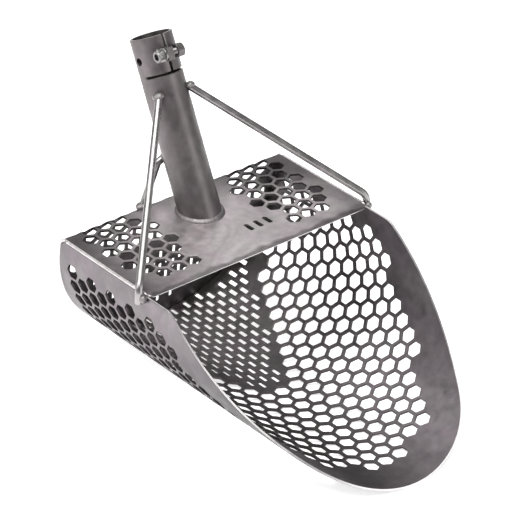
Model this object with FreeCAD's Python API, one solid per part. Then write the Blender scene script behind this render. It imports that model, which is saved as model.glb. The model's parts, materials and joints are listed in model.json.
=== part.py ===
import FreeCAD, Part
import os
from math import acos, asin, atan2, cos, pi, radians, sin, sqrt, tan

V = FreeCAD.Vector

# Beach sand scoop: a welded stainless basket with a split handle socket.
# X runs across the scoop, -Y points out of the mouth, Z is up.
# The origin is where the socket's axis meets the top face of the plate.
# Lengths are millimetres and angles are degrees.

# ---- sheet and perforation -------------------------------------------------
SHEET = 2.0                       # thickness of every sheet
PITCH = 14.0                      # centre distance of the hexagonal holes
HEX_FLATS = 11.2                  # hexagon across its flats
ROW = PITCH * sqrt(3) / 2         # distance between rows of hexagons
SLOT_LONG = 9.5
SLOT_WIDE = 3.4
SLOT_STEP = 14.2                  # end-to-end pitch of the slots in one row
SLOT_ROW = 6.46                   # distance between neighbouring slot rows
CUT_DEPTH = 10.0                  # length of a hole's cutter

# ---- basket trough (middle of the sheet) -----------------------------------
BELLY_RADIUS = 111.0
BELLY_ANGLE = 44.0                # the belly arc ends at this slope
SIDE_RADIUS = 97.5
BASKET_DEPTH = 115.8              # middle of the belly below the plate's top
LIP_SIDE = (V(0, -258.5, -117.8), V(0, -216.0, -84.0), V(0, -189.0, -68.0), V(0, -149.5, -40.6),
            V(0, -108.5, -7.3))   # side view of the lip from the tip up
LIP_CORNER = (V(0, -104.3, -3.4), V(0, -98.0, -SHEET))   # the corner above it
SHELL_HEX_Y = 21.4                # first row of hexagons in the basket
SHELL_LAST_COLUMN = 22            # columns of half a pitch, counted from the belly
VEE_COLUMN = 12                   # the hexagons start behind a vee up to this column
VEE_TIP_ROW = 10
FRONT_STEPS = ((20, 9), (13, 8), (7, 7), (5, 6), (2, 5), (0, 4))
SLOT_FIRST_Y = (36.9, 44.2)       # first slot in even and odd rows
SLOT_COUNTS = (9, 10, 9, 8, 7, 7, 6, 4, 4, 3, 2, 1, 1, 1)
SLOT_FULL_ROWS = 7                # odd rows from here on skip their first slot

# ---- bent plate: top and back of the basket --------------------------------
PLATE_FRONT = -76.0
LIP_RADIUS = 9.0                  # the front edge is rolled down
LIP_ANGLE = 30.0
BEND_START = 30.5
BEND_RADIUS = 7.0                 # outside of the rear bend
BACK_LEAN = 7.9                   # the back leans away from upright
CORNER_RADIUS = 4.5
SEAM = 1.6                        # width of the weld along the plate's edge
PLATE_HEX_Y = 18.3
PLATE_ROWS = ((-1, 4.0, 6.0), (0, 3.5, 6.5), (1, 3.0, 6.0), (2, 3.5, 6.5),
              (3, 3.0, 6.0), (4, 3.5, 6.5), (5, 4.0, 6.0), (6, 3.5, 5.5))
BACK_ROWS = ((3.5, 3.5), (15.6, 0.0), (27.8, 0.5))   # distance down the back, first column
BACK_LAST_COLUMN = 6.5
BACK_SLOT_LOW = -98.0
BACK_SLOT_HIGH = -50.0
BACK_SLOT_MARGIN = 12.0
BEND_ROW_TILT = 20.0              # the row of hexagons on the rear bend leans back
MARK_CENTRES = (14.0, 23.0, 32.0)  # three plain drain slots in the plate
MARK_Y = -43.0
MARK_LONG = 10.0
MARK_WIDE = 3.6

# ---- handle socket ----------------------------------------------------------
TUBE_RADIUS = 16.85
TUBE_WALL = 2.0
TUBE_LENGTH = 142.0
TUBE_LEAN = 24.3
SLIT_HEIGHT = 111.6               # the cross slit, measured along the socket
SLIT_WIDE = 2.4
CROSS_SLIT_WIDE = 2.0
CROSS_SLIT_ANGLE = 78.0           # either side of the front
CROSS_SLIT_FACETS = 4             # flats that stand in for that arc, each side
PIN_HOLE_RADIUS = 3.0
PIN_HOLE_HEIGHT = 125.0
BASE_WELD_WIDE = 1.8
BASE_WELD_HIGH = 3.4
BASE_WELD_EDGE = 0.15             # how far the bead's upper edge stands off the socket

# ---- clamp screw, M6 x 16 ---------------------------------------------------
SCREW_HEIGHT = 127.0
SCREW_OFFSET = 22.4               # screw axis in front of the socket's axis
SCREW_RADIUS = 2.95
SCREW_LENGTH = 16.0
HEAD_RADIUS = 5.0
HEAD_LENGTH = 6.0
KEY_FLATS = 5.0
KEY_DEPTH = 3.0
WASHER_RADIUS = 5.5
WASHER_BORE = 3.25
WASHER_THICK = 1.6
RUN_GAP = 0.05                    # play between the washer and its neighbours
LUG_LEFT = -7.0
LUG_RIGHT = -1.4
LUG_HALF = 5.0
LUG_BORE = 3.3
NUT_LEFT = 3.2
NUT_LENGTH = 6.0
NUT_FLATS = 10.0
NUT_BORE = 3.0
NUT_WELD_TALL = 8.0
NUT_WELD_REACH = 3.0              # the weld stops this far behind the screw's axis
LUG_BEAD = 1.3                    # radius of the bead along the lug's foot

# ---- brace rods -------------------------------------------------------------
ROD_RADIUS = 3.0
FRONT_ROD_HEIGHT = 95.5           # where a front rod meets the socket
FRONT_ROD_AZIMUTH = 54.0
FRONT_ROD_SINK = 1.2              # the rod's axis ends this far inside its own radius
FRONT_ROD_BEND = V(110.95, -68.5, 4.2)
FRONT_ROD_FOOT = V(110.95, -67.8, -7.5)
FRONT_BEND_RADIUS = 10.0
REAR_ROD_TOP = V(7.0, 33.2, 37.0)
REAR_ROD_BEND = V(14.0, 34.6, 33.0)
REAR_ROD_FOOT = V(31.4, 34.0, -3.0)
REAR_BEND_RADIUS = 5.0
BLOB = 5.2                        # radius of a weld blob
TOP_BLOB = 4.8                    # blob at the top of a front rod
TOP_BLOB_RISE = 0.8               # how far that blob's centre is above the rod's end
TOP_BLOB_TURN = 60.0              # turns that blob's seam line clear of the cuts
FOOT_BLOB = 3.6                   # blob in front of a front rod's foot, at the plate's corner
FOOT_BLOB_CENTRE = V(110.2, -72.0, -3.0)

FAR = 400.0                       # longer than the scoop
CLEAR = 5.0                       # how far a cutter passes a face

AXIS = V(0, sin(radians(TUBE_LEAN)), cos(radians(TUBE_LEAN)))
FRONT = V(0, -cos(radians(TUBE_LEAN)), sin(radians(TUBE_LEAN)))
ACROSS = V(1, 0, 0)
DOWN_BACK = V(0, sin(radians(BACK_LEAN)), -cos(radians(BACK_LEAN)))
BACK_OUT = V(0, cos(radians(BACK_LEAN)), sin(radians(BACK_LEAN)))


# ---- helpers ----------------------------------------------------------------
def line(a, b):
    return Part.LineSegment(a, b).toShape()


def arc(a, middle, b):
    return Part.Arc(a, middle, b).toShape()


def prism(edges, direction):
    return Part.Face(Part.Wire(edges)).extrude(direction)


def polygon_prism(points, direction):
    corners = points + [points[0]]
    return Part.Face(Part.makePolygon(corners)).extrude(direction)


def box(low, high):
    size = high - low
    return Part.makeBox(size.x, size.y, size.z, low)


def cylinder(radius, start, end):
    along = end - start
    return Part.makeCylinder(radius, along.Length, start, along)


def hex_prism(centre, side, up, normal, flats, depth):
    """Hexagon with two flats facing +-side, cut depth centred on centre."""
    radius = flats / sqrt(3)
    foot = centre - normal * (depth / 2)
    corners = []
    for step in range(6):
        angle = radians(30 + 60 * step)
        corners.append(foot + side * (radius * cos(angle)) + up * (radius * sin(angle)))
    return polygon_prism(corners, normal * depth)


def slot_prism(centre, side, up, normal, wide, long, depth):
    foot = centre - normal * (depth / 2)
    reach = side * (wide / 2)
    rise = up * (long / 2)
    corners = [foot - reach - rise, foot + reach - rise, foot + reach + rise, foot - reach + rise]
    return polygon_prism(corners, normal * depth)


def mirrored(shape):
    return shape.mirror(V(0, 0, 0), V(1, 0, 0))


def single_solid(shape):
    solids = sorted(shape.Solids, key=lambda solid: solid.Volume)
    return solids[-1]


def export(shape, name):
    shape.exportStep("parts/" + name + ".step")


# ---- the trough's cross-section ----------------------------------------------
BELLY_CENTRE = V(0, 0, BELLY_RADIUS - BASKET_DEPTH)
SIDE_CENTRE = V((BELLY_RADIUS - SIDE_RADIUS) * sin(radians(BELLY_ANGLE)), 0,
                BELLY_CENTRE.z - (BELLY_RADIUS - SIDE_RADIUS) * cos(radians(BELLY_ANGLE)))
BELLY_LENGTH = BELLY_RADIUS * radians(BELLY_ANGLE)


def section_place(along, y):
    """Point, tangent and outward normal at a length along the middle of the section."""
    side = 1 if along >= 0 else -1
    length = abs(along)
    if length <= BELLY_LENGTH:
        centre = BELLY_CENTRE
        radius = BELLY_RADIUS
        slope = length / BELLY_RADIUS
    else:
        centre = SIDE_CENTRE
        radius = SIDE_RADIUS
        slope = radians(BELLY_ANGLE) + (length - BELLY_LENGTH) / SIDE_RADIUS
    normal = V(side * sin(slope), 0, -cos(slope))
    point = V(side * centre.x, y, centre.z) + normal * radius
    tangent = V(cos(slope), 0, side * sin(slope))
    return point, tangent, normal


def section_top(offset):
    """Right-hand point where the section, moved outwards by offset, meets the plate's top."""
    radius = SIDE_RADIUS + offset
    rise = asin(-SIDE_CENTRE.z / radius)
    return V(SIDE_CENTRE.x + radius * cos(rise), 0, 0)


def section_prism(offset):
    """Everything inside the section moved outwards by offset, as one long bar along Y."""
    belly_end = radians(BELLY_ANGLE)
    joint = BELLY_CENTRE + V(sin(belly_end), 0, -cos(belly_end)) * (BELLY_RADIUS + offset)
    top = section_top(offset)
    lean = (atan2(top.z - SIDE_CENTRE.z, top.x - SIDE_CENTRE.x) + belly_end - pi / 2) / 2
    flank = SIDE_CENTRE + V(cos(lean), 0, sin(lean)) * (SIDE_RADIUS + offset)
    bottom = BELLY_CENTRE - V(0, 0, BELLY_RADIUS + offset)
    left = [V(-p.x, 0, p.z) for p in (top, flank, joint)]
    edges = [arc(left[0], left[1], left[2]), arc(left[2], bottom, joint),
             arc(joint, flank, top), line(top, left[0])]
    bar = prism(edges, V(0, 2 * FAR, 0))
    bar.translate(V(0, -FAR, 0))
    return bar


# ---- the bent plate's side profile -------------------------------------------
def turned(centre, radius, angle):
    """Point on a circle in the YZ plane, angle from straight up towards +Y."""
    return centre + V(0, radius * sin(radians(angle)), radius * cos(radians(angle)))


BEND_CENTRE = V(0, BEND_START, -BEND_RADIUS)
BEND_TURN = 90.0 - BACK_LEAN
FLAT_FRONT = PLATE_FRONT + LIP_RADIUS * sin(radians(LIP_ANGLE))
LIP_CENTRE = V(0, FLAT_FRONT, -LIP_RADIUS)
BACK_LENGTH = 130.0


def plate_bar():
    """The bent sheet as one profile, wider than the scoop."""
    inner_bend = BEND_RADIUS - SHEET
    inner_lip = LIP_RADIUS - SHEET
    out = [turned(LIP_CENTRE, LIP_RADIUS, -LIP_ANGLE), V(0, FLAT_FRONT, 0), V(0, BEND_START, 0),
           turned(BEND_CENTRE, BEND_RADIUS, BEND_TURN)]
    out.append(out[3] + DOWN_BACK * BACK_LENGTH)
    inn = [turned(LIP_CENTRE, inner_lip, -LIP_ANGLE), V(0, FLAT_FRONT, -SHEET),
           V(0, BEND_START, -SHEET), turned(BEND_CENTRE, inner_bend, BEND_TURN)]
    inn.append(inn[3] + DOWN_BACK * BACK_LENGTH)
    edges = [arc(out[0], turned(LIP_CENTRE, LIP_RADIUS, -LIP_ANGLE / 2), out[1]),
             line(out[1], out[2]),
             arc(out[2], turned(BEND_CENTRE, BEND_RADIUS, BEND_TURN / 2), out[3]),
             line(out[3], out[4]), line(out[4], inn[4]), line(inn[4], inn[3]),
             arc(inn[3], turned(BEND_CENTRE, inner_bend, BEND_TURN / 2), inn[2]),
             line(inn[2], inn[1]),
             arc(inn[1], turned(LIP_CENTRE, inner_lip, -LIP_ANGLE / 2), inn[0]),
             line(inn[0], out[0])]
    bar = prism(edges, V(FAR, 0, 0))
    bar.translate(V(-FAR / 2, 0, 0))
    return bar


def outside_plate():
    """The space above the plate's underside and behind the back's inner face."""
    inner_bend = BEND_RADIUS - SHEET
    bend_end = turned(BEND_CENTRE, inner_bend, BEND_TURN)
    low = bend_end + DOWN_BACK * BACK_LENGTH
    edges = [line(V(0, -FAR, -SHEET), V(0, BEND_START, -SHEET)),
             arc(V(0, BEND_START, -SHEET), turned(BEND_CENTRE, inner_bend, BEND_TURN / 2), bend_end),
             line(bend_end, low), line(low, V(0, FAR, low.z)),
             line(V(0, FAR, low.z), V(0, FAR, FAR)), line(V(0, FAR, FAR), V(0, -FAR, FAR)),
             line(V(0, -FAR, FAR), V(0, -FAR, -SHEET))]
    bar = prism(edges, V(FAR, 0, 0))
    bar.translate(V(-FAR / 2, 0, 0))
    return bar


# ---- basket shell --------------------------------------------------------------
def mouth_cutter():
    """Everything in front of the lip, as a side profile drawn right across."""
    tip = LIP_SIDE[0]
    top = LIP_CORNER[1]
    curve = Part.BSplineCurve()
    curve.interpolate(list(LIP_SIDE))
    edges = [curve.toShape(), arc(LIP_SIDE[-1], LIP_CORNER[0], top), line(top, V(0, top.y, FAR)),
             line(V(0, top.y, FAR), V(0, -FAR, FAR)), line(V(0, -FAR, FAR), V(0, -FAR, tip.z)),
             line(V(0, -FAR, tip.z), tip)]
    bar = prism(edges, V(FAR, 0, 0))
    bar.translate(V(-FAR / 2, 0, 0))
    return bar


def last_hex_row(column):
    """Last row of hexagons in a column: the front border climbs in steps."""
    step = [limit for first, limit in FRONT_STEPS if column >= first][0]
    return 2 * step + VEE_COLUMN - column


def first_hex_row(column):
    if column == 0:
        return VEE_TIP_ROW
    if column < VEE_COLUMN:
        return VEE_COLUMN - column
    return column % 2


def shell_hexagons():
    tools = []
    for column in range(-SHELL_LAST_COLUMN, SHELL_LAST_COLUMN + 1):
        for row in range(first_hex_row(abs(column)), last_hex_row(abs(column)) + 1, 2):
            place = section_place(column * PITCH / 2, SHELL_HEX_Y - row * ROW)
            tools.append(hex_prism(place[0], place[1], V(0, 1, 0), place[2], HEX_FLATS, CUT_DEPTH))
    return tools


def shell_slots():
    tools = []
    rows = len(SLOT_COUNTS) - 1
    for row in range(-rows, rows + 1):
        start = SLOT_FIRST_Y[abs(row) % 2]
        if abs(row) % 2 == 1 and abs(row) >= SLOT_FULL_ROWS:
            start -= SLOT_STEP
        for step in range(SLOT_COUNTS[abs(row)]):
            place = section_place(row * SLOT_ROW, start - step * SLOT_STEP)
            tools.append(slot_prism(place[0], place[1], V(0, 1, 0), place[2],
                                    SLOT_WIDE, SLOT_LONG, CUT_DEPTH))
    return tools


def basket_shell():
    half = SHEET / 2
    shell = section_prism(half).cut(section_prism(-half))
    shell = shell.cut(outside_plate())
    shell = shell.cut(mouth_cutter())
    return single_solid(shell.cut(shell_hexagons() + shell_slots()))


# ---- top plate and back, one bent sheet ----------------------------------------
def plate_hexagons():
    tools = []
    for row, first, last in PLATE_ROWS:
        y = PLATE_HEX_Y - row * ROW
        tilt = BEND_ROW_TILT if row < 0 else 0.0
        normal = V(0, sin(radians(tilt)), cos(radians(tilt)))
        up = V(0, cos(radians(tilt)), -sin(radians(tilt)))
        for step in range(int(last - first) + 1):
            x = (first + step) * PITCH
            for side in (-1, 1):
                centre = V(side * x, y, -SHEET / 2)
                tools.append(hex_prism(centre, ACROSS, up, normal, HEX_FLATS, CUT_DEPTH))
    return tools


def back_place(x, down):
    """Point on the middle of the back, at a distance down from the bend."""
    start = turned(BEND_CENTRE, BEND_RADIUS - SHEET / 2, BEND_TURN)
    return start + DOWN_BACK * down + V(x, 0, 0)


def back_hexagons():
    tools = []
    for down, first in BACK_ROWS:
        column = first
        while column <= BACK_LAST_COLUMN:
            for side in (-1, 1) if column > 0 else (1,):
                centre = back_place(side * column * PITCH, down)
                tools.append(hex_prism(centre, ACROSS, DOWN_BACK, BACK_OUT, HEX_FLATS, CUT_DEPTH))
            column += 1.0
    return tools


def basket_floor(x):
    """Height of the middle of the trough's sheet below a point x to the side."""
    if abs(x) <= BELLY_RADIUS * sin(radians(BELLY_ANGLE)):
        return BELLY_CENTRE.z - sqrt(BELLY_RADIUS ** 2 - x ** 2)
    return SIDE_CENTRE.z - sqrt(SIDE_RADIUS ** 2 - (abs(x) - SIDE_CENTRE.x) ** 2)


def back_slots():
    tools = []
    rows = len(SLOT_COUNTS) - 1
    for row in range(-rows, rows + 1):
        x = row * SLOT_ROW
        z = BACK_SLOT_LOW if row % 2 else BACK_SLOT_LOW + SLOT_STEP / 2
        floor = max(basket_floor(x - SLOT_ROW), basket_floor(x + SLOT_ROW))
        while z <= BACK_SLOT_HIGH:
            down = (back_place(0, 0).z - z) / cos(radians(BACK_LEAN))
            if z - SLOT_LONG / 2 > floor + BACK_SLOT_MARGIN:
                tools.append(slot_prism(back_place(x, down), ACROSS, DOWN_BACK, BACK_OUT,
                                        SLOT_WIDE, SLOT_LONG, CUT_DEPTH))
            z += SLOT_STEP
    return tools


def drain_slots():
    tools = []
    for x in MARK_CENTRES:
        tools.append(slot_prism(V(x, MARK_Y, 0), ACROSS, V(0, 1, 0), V(0, 0, 1),
                                MARK_WIDE, MARK_LONG, CUT_DEPTH))
    return tools


def corner_cutters():
    """What rounds the two front corners of the plate."""
    edge = section_top(SHEET / 2).x
    centre = V(section_top(SHEET / 2 - SEAM).x - CORNER_RADIUS, PLATE_FRONT + CORNER_RADIUS, 0)
    block = box(V(centre.x, PLATE_FRONT - CLEAR, -FAR), V(edge + CLEAR, centre.y, FAR))
    right = block.cut(cylinder(CORNER_RADIUS, centre - V(0, 0, FAR), centre + V(0, 0, FAR)))
    return [right, mirrored(right)]


def bent_plate(bar):
    plate = bar.common(section_prism(SHEET / 2 - SEAM))
    plate = plate.cut(corner_cutters())
    tools = plate_hexagons() + back_hexagons() + back_slots() + drain_slots()
    return single_solid(plate.cut(tools + [pole_bore()]))


def seam_welds(bar):
    """Left, right and rear weld beads between the plate's edge and the shell's outside."""
    ring = bar.common(section_prism(SHEET / 2).cut(section_prism(SHEET / 2 - SEAM)))
    front = PLATE_FRONT + CORNER_RADIUS
    right = single_solid(ring.common(box(V(0, front, -CLEAR), V(FAR, BEND_START, CLEAR))))
    left = mirrored(right)
    rear = single_solid(ring.common(box(V(-FAR, BEND_START, -FAR), V(FAR, FAR, CLEAR))))
    return left, right, rear


# ---- handle socket ---------------------------------------------------------------
def socket_point(height, out=0.0, x=0.0):
    """Point by height along the socket, distance in front of its axis, and x."""
    return AXIS * height + FRONT * out + V(x, 0, 0)


def socket_solid(radius, length):
    bar = cylinder(radius, socket_point(-2 * radius), socket_point(length))
    return bar.common(box(V(-FAR, -FAR, 0), V(FAR, FAR, FAR)))


def pole_bore():
    """The socket's bore, which runs on through the plate so that water and sand drain out."""
    beyond = TUBE_LENGTH + CLEAR
    return cylinder(TUBE_RADIUS - TUBE_WALL, socket_point(-beyond), socket_point(beyond))


def handle_socket():
    tube = socket_solid(TUBE_RADIUS, TUBE_LENGTH).cut(pole_bore())
    beyond = TUBE_LENGTH + CLEAR
    slit = slot_prism(socket_point((SLIT_HEIGHT + beyond) / 2, TUBE_RADIUS), ACROSS, AXIS, FRONT,
                      SLIT_WIDE, beyond - SLIT_HEIGHT, TUBE_RADIUS)
    reach = radians(CROSS_SLIT_ANGLE)
    foot = socket_point(SLIT_HEIGHT - CROSS_SLIT_WIDE / 2)
    outer = 2 * TUBE_RADIUS
    wedge = [foot]
    for step in range(-CROSS_SLIT_FACETS, CROSS_SLIT_FACETS + 1):
        angle = reach * step / CROSS_SLIT_FACETS
        wedge.append(foot + FRONT * (outer * cos(angle)) + ACROSS * (outer * sin(angle)))
    cross_slit = polygon_prism(wedge, AXIS * CROSS_SLIT_WIDE)
    pin_hole = cylinder(PIN_HOLE_RADIUS, socket_point(PIN_HOLE_HEIGHT, 0, -outer),
                        socket_point(PIN_HOLE_HEIGHT, 0, outer))
    return single_solid(tube.cut([slit, cross_slit, pin_hole]))


def socket_base_weld():
    """Fillet bead round the foot of the leaning socket."""
    stretch = 1 / cos(radians(TUBE_LEAN))
    rings = []
    for grow, z in ((BASE_WELD_WIDE, 0.0), (BASE_WELD_EDGE, BASE_WELD_HIGH)):
        ellipse = Part.Ellipse(V(0, 0, 0), (TUBE_RADIUS + grow) * stretch, TUBE_RADIUS + grow)
        ring = ellipse.toShape()
        ring.rotate(V(0, 0, 0), V(0, 0, 1), 90)
        ring.translate(V(0, z * tan(radians(TUBE_LEAN)), z))
        rings.append(Part.Wire(ring))
    bead = Part.makeLoft(rings, True)
    return single_solid(bead.cut(socket_solid(TUBE_RADIUS, TUBE_LENGTH)))


# ---- clamp -------------------------------------------------------------------------
def screw_point(x):
    return socket_point(SCREW_HEIGHT, SCREW_OFFSET, x)


def clamp_lug():
    """Square block welded beside the slit, with a clearance hole."""
    depth = SCREW_OFFSET + LUG_HALF
    centre = socket_point(SCREW_HEIGHT, 0, (LUG_LEFT + LUG_RIGHT) / 2)
    block = slot_prism(centre + FRONT * (depth / 2), ACROSS, AXIS, FRONT,
                       LUG_RIGHT - LUG_LEFT, 2 * LUG_HALF, depth)
    block = block.cut(socket_solid(TUBE_RADIUS, TUBE_LENGTH))
    return single_solid(block.cut(cylinder(LUG_BORE, screw_point(-FAR), screw_point(FAR))))


def nut_blank():
    centre = screw_point(NUT_LEFT + NUT_LENGTH / 2)
    return hex_prism(centre, AXIS, FRONT, ACROSS, NUT_FLATS, NUT_LENGTH)


def clamp_nut():
    return nut_blank().cut(cylinder(NUT_BORE, screw_point(-FAR), screw_point(FAR)))


def clamp_nut_weld():
    """Weld metal that fills the wedge between the socket and the nut."""
    depth = SCREW_OFFSET - NUT_WELD_REACH
    centre = socket_point(SCREW_HEIGHT, depth / 2, NUT_LEFT + NUT_LENGTH / 2)
    block = slot_prism(centre, ACROSS, AXIS, FRONT, NUT_LENGTH, NUT_WELD_TALL, depth)
    return single_solid(block.cut([socket_solid(TUBE_RADIUS, TUBE_LENGTH), nut_blank()]))


def clamp_lug_weld():
    """Bead on the far side of the lug, along its foot."""
    reach = sqrt(TUBE_RADIUS ** 2 - LUG_LEFT ** 2)
    start = socket_point(SCREW_HEIGHT - LUG_HALF, reach, LUG_LEFT)
    end = socket_point(SCREW_HEIGHT + LUG_HALF, reach, LUG_LEFT)
    bead = cylinder(LUG_BEAD, start, end)
    bead = bead.cut(socket_solid(TUBE_RADIUS, TUBE_LENGTH))
    return single_solid(bead.common(box(V(-FAR, -FAR, 0), V(LUG_LEFT, FAR, FAR))))


def clamp_washer():
    start = screw_point(LUG_LEFT - RUN_GAP - WASHER_THICK)
    end = screw_point(LUG_LEFT - RUN_GAP)
    return cylinder(WASHER_RADIUS, start, end).cut(cylinder(WASHER_BORE, screw_point(-FAR), screw_point(FAR)))


def clamp_screw():
    seat = LUG_LEFT - WASHER_THICK - 2 * RUN_GAP
    head = cylinder(HEAD_RADIUS, screw_point(seat - HEAD_LENGTH), screw_point(seat))
    shank = cylinder(SCREW_RADIUS, screw_point(seat), screw_point(seat + SCREW_LENGTH))
    key = hex_prism(screw_point(seat - HEAD_LENGTH), FRONT, AXIS, ACROSS, KEY_FLATS, 2 * KEY_DEPTH)
    return head.fuse(shank).removeSplitter().cut(key)


# ---- brace rods -------------------------------------------------------------------
def bent_rod(start, corner, end, bend_radius):
    """Round rod with one bend."""
    first = (start - corner).normalize()
    second = (end - corner).normalize()
    half = acos(first.dot(second)) / 2
    back_off = bend_radius / tan(half)
    inward = (first + second).normalize()
    centre = corner + inward * (bend_radius / sin(half))
    bend_start = corner + first * back_off
    bend_end = corner + second * back_off
    route = Part.Wire([line(start, bend_start),
                       arc(bend_start, centre - inward * bend_radius, bend_end),
                       line(bend_end, end)])
    profile = Part.Wire(Part.makeCircle(ROD_RADIUS, start, first * -1))
    return route.makePipeShell([profile], True, False)


def front_rod():
    azimuth = radians(FRONT_ROD_AZIMUTH)
    out = TUBE_RADIUS + ROD_RADIUS - FRONT_ROD_SINK
    top = socket_point(FRONT_ROD_HEIGHT) + FRONT * (out * cos(azimuth)) + ACROSS * (out * sin(azimuth))
    rod = bent_rod(top, FRONT_ROD_BEND, FRONT_ROD_FOOT, FRONT_BEND_RADIUS)
    return top, single_solid(rod.cut(socket_solid(TUBE_RADIUS, TUBE_LENGTH)))


def rear_rod(bar):
    rod = bent_rod(REAR_ROD_TOP, REAR_ROD_BEND, REAR_ROD_FOOT, REAR_BEND_RADIUS)
    rod = rod.cut(socket_solid(TUBE_RADIUS, TUBE_LENGTH))
    return single_solid(rod.cut(bar))


def blob(centre, radius, others, turn=0.0):
    """Ball of weld metal less what it sits on; turn moves the ball's seam line."""
    ball = Part.makeSphere(radius, centre)
    ball.rotate(centre, V(0, 0, 1), turn)
    return single_solid(ball.cut(others))


# ---- build --------------------------------------------------------------------------
def main():
    os.makedirs("parts", exist_ok=True)
    bar = plate_bar()
    shell = basket_shell()
    plate = bent_plate(bar)
    left_seam, right_seam, rear_seam = seam_welds(bar)
    socket = handle_socket()
    solid_socket = socket_solid(TUBE_RADIUS, TUBE_LENGTH)
    rod_top, right_rod = front_rod()
    right_rear = rear_rod(bar)
    top_weld = blob(rod_top + AXIS * TOP_BLOB_RISE, TOP_BLOB, [solid_socket, right_rod], TOP_BLOB_TURN)
    foot_weld = blob(FOOT_BLOB_CENTRE, FOOT_BLOB, [shell, plate, right_rod, right_seam])
    rear_top_weld = blob(REAR_ROD_TOP, BLOB, [solid_socket, right_rear])
    rear_foot_weld = blob(V(REAR_ROD_FOOT.x, REAR_ROD_FOOT.y, 0), BLOB, [bar, right_rear])
    pieces = {
        "basket_shell": shell,
        "top_and_back_plate": plate,
        "left_seam_weld": left_seam,
        "right_seam_weld": right_seam,
        "rear_seam_weld": rear_seam,
        "handle_socket": socket,
        "socket_base_weld": socket_base_weld(),
        "front_right_brace_rod": right_rod,
        "front_left_brace_rod": mirrored(right_rod),
        "rear_right_brace_rod": right_rear,
        "rear_left_brace_rod": mirrored(right_rear),
        "front_right_rod_top_weld": top_weld,
        "front_left_rod_top_weld": mirrored(top_weld),
        "front_right_rod_foot_weld": foot_weld,
        "front_left_rod_foot_weld": mirrored(foot_weld),
        "rear_right_rod_top_weld": rear_top_weld,
        "rear_left_rod_top_weld": mirrored(rear_top_weld),
        "rear_right_rod_foot_weld": rear_foot_weld,
        "rear_left_rod_foot_weld": mirrored(rear_foot_weld),
        "clamp_lug": clamp_lug(),
        "clamp_lug_weld": clamp_lug_weld(),
        "clamp_nut": clamp_nut(),
        "clamp_nut_weld": clamp_nut_weld(),
        "clamp_washer": clamp_washer(),
        "clamp_screw": clamp_screw(),
    }
    for name, shape in pieces.items():
        print(name, len(shape.Solids), shape.isValid(), round(shape.Volume), shape.BoundBox)
        export(shape, name)


main()
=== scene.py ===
"""Beach sand scoop: the visual model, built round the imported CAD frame.

Design sizes are millimetres and become metres when a mesh is made. The frame is the CAD's own:
X across the scoop, -Y out of the mouth, +Z up, origin where the socket's axis meets the plate's top.
"""
import json
from math import acos, atan, cos, pi, radians, sin, sqrt, tan

import bmesh
import bpy
import numpy as np
from mathutils import Matrix, Vector, kdtree, noise
from mathutils.geometry import delaunay_2d_cdt


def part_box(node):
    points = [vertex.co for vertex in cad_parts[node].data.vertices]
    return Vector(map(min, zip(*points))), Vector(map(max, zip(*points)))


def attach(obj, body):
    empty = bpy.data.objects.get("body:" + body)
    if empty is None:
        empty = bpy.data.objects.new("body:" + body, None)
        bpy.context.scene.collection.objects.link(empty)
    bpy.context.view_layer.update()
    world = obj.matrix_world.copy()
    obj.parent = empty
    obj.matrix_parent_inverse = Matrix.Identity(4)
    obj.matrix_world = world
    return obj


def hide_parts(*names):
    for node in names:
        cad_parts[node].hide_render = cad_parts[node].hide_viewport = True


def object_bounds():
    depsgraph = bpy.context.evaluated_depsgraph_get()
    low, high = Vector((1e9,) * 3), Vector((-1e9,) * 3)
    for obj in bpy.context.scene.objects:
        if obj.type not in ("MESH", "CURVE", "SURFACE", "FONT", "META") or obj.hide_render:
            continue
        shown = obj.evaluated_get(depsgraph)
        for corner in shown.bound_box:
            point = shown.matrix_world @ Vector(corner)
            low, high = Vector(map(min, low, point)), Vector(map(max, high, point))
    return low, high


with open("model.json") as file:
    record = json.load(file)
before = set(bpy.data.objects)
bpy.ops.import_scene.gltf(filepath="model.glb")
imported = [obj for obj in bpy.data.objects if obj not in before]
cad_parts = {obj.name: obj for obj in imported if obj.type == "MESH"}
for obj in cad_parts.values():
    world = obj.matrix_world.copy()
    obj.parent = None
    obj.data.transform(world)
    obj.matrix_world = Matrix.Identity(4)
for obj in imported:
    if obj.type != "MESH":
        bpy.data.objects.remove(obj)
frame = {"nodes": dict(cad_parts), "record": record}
cad_low, cad_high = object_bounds()

MM = 0.001

# ---- the sizes the pieces share with the CAD, millimetres -------------------------------------
SHEET = 2.0
EDGE = 0.3                 # rounding of every cut edge of a sheet
HOLE_RIM = 0.5             # the edge value of a hole's wall, which gets painted shade; a rubbed outer edge with a painted highlight has 1
PITCH = 14.0
HEX_FLATS = 11.2
HEX_CORNER = 0.9
ROW = PITCH * sqrt(3) / 2  # from one row of hexagons to the next
SLOT_LONG = 9.5
SLOT_WIDE = 3.4
SLOT_CORNER = 0.7
SLOT_STEP = 14.2           # from slot to slot in a row, which runs along the scoop
SLOT_ROW = 6.46            # from row to row

BELLY_RADIUS = 111.0
BELLY_TURN = radians(44.0)
SIDE_RADIUS = 97.5
BASKET_DEPTH = 115.8
BELLY_Z = BELLY_RADIUS - BASKET_DEPTH
SIDE_X = (BELLY_RADIUS - SIDE_RADIUS) * sin(BELLY_TURN)
SIDE_Z = BELLY_Z - (BELLY_RADIUS - SIDE_RADIUS) * cos(BELLY_TURN)
BELLY_LENGTH = BELLY_RADIUS * BELLY_TURN

LIP_TIP = -257.4           # front end of the basket's belly
LIP_ROUND = 106.7          # radius of the lip in the flat sheet
LIP_SLOPE = 1.257          # the straight sides of the lip, in the flat sheet
LIP_SHOULDER = 15.0        # radius between the straight and the top edge

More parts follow.
